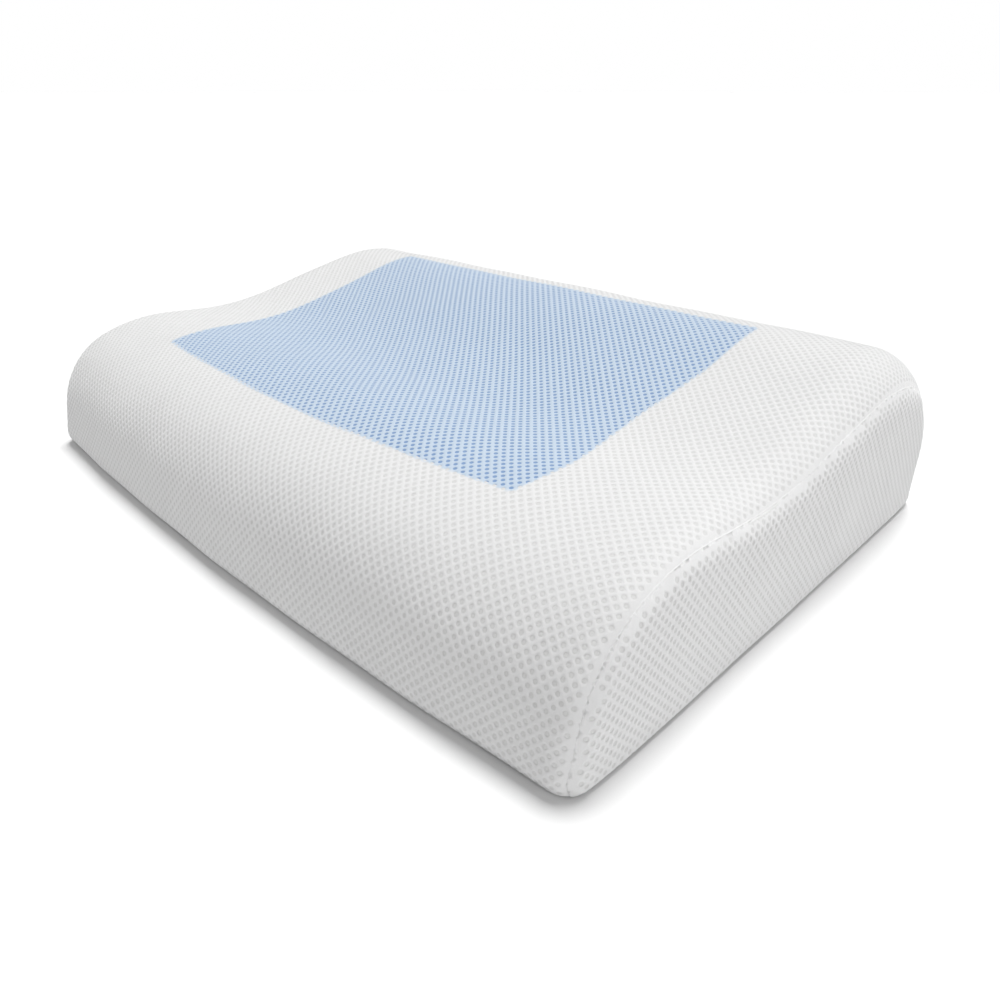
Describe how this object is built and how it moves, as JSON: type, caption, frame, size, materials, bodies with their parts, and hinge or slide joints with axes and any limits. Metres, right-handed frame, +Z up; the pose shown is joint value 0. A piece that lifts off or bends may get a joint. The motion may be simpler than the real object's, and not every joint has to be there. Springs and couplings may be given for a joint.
{
  "type": "contour foam bed pillow",
  "caption": "Contoured memory-foam bed pillow with a low and a high lobe, a cooling gel pad under the top and a zip-off air-mesh cover.",
  "frame": {"origin": "centre of the bounding box on the surface that the pillow rests on", "axes": "+X along the pillow's length, +Y from the low front lobe to the high back lobe, +Z up"},
  "size_m": [0.5088, 0.371, 0.112],
  "materials": {
    "foam": "open-cell foam, matt",
    "gel": "smooth soft gel, satin",
    "mesh_knit": "staggered-hole air-mesh knit, soft sheen",
    "base_cloth": "plain knitted polyester, matt",
    "thread": "polyester sewing thread",
    "zip_tape": "woven herringbone tape",
    "zip_nylon": "moulded nylon",
    "zip_metal": "white enamel on die-cast zinc",
    "label_satin": "blank satin ribbon"
  },
  "bodies": {
    "pillow": {"foam_core": "foam", "gel_pad": "gel", "cover_wrap": "mesh_knit", "cover_end_left": "mesh_knit", "cover_end_right": "mesh_knit", "cover_bottom": "base_cloth", "end_seam_left": "thread", "end_seam_right": "thread", "bottom_seam": "thread", "zip_tape_upper": "zip_tape", "zip_tape_lower": "zip_tape", "zip_coil_upper": "zip_nylon", "zip_coil_lower": "zip_nylon", "zip_top_stops": "zip_metal", "zip_bottom_stop": "zip_nylon", "zip_stitching": "thread", "care_label": "label_satin"},
    "slider": {"zip_slider": "zip_metal"},
    "pull_tab": {"zip_pull_tab": "zip_metal"}
  },
  "joints": [
    {"name": "zip_slide", "type": "slide", "parent": "pillow", "child": "slider", "axis": [-1, 0, 0], "range_m": [0, 0.39]},
    {"name": "pull_tab_hinge", "type": "hinge", "parent": "slider", "child": "pull_tab", "pos_m": [0.198, 0.1839, 0.023], "axis": [0, 0, -1], "range_deg": [0, 175]}
  ]
}
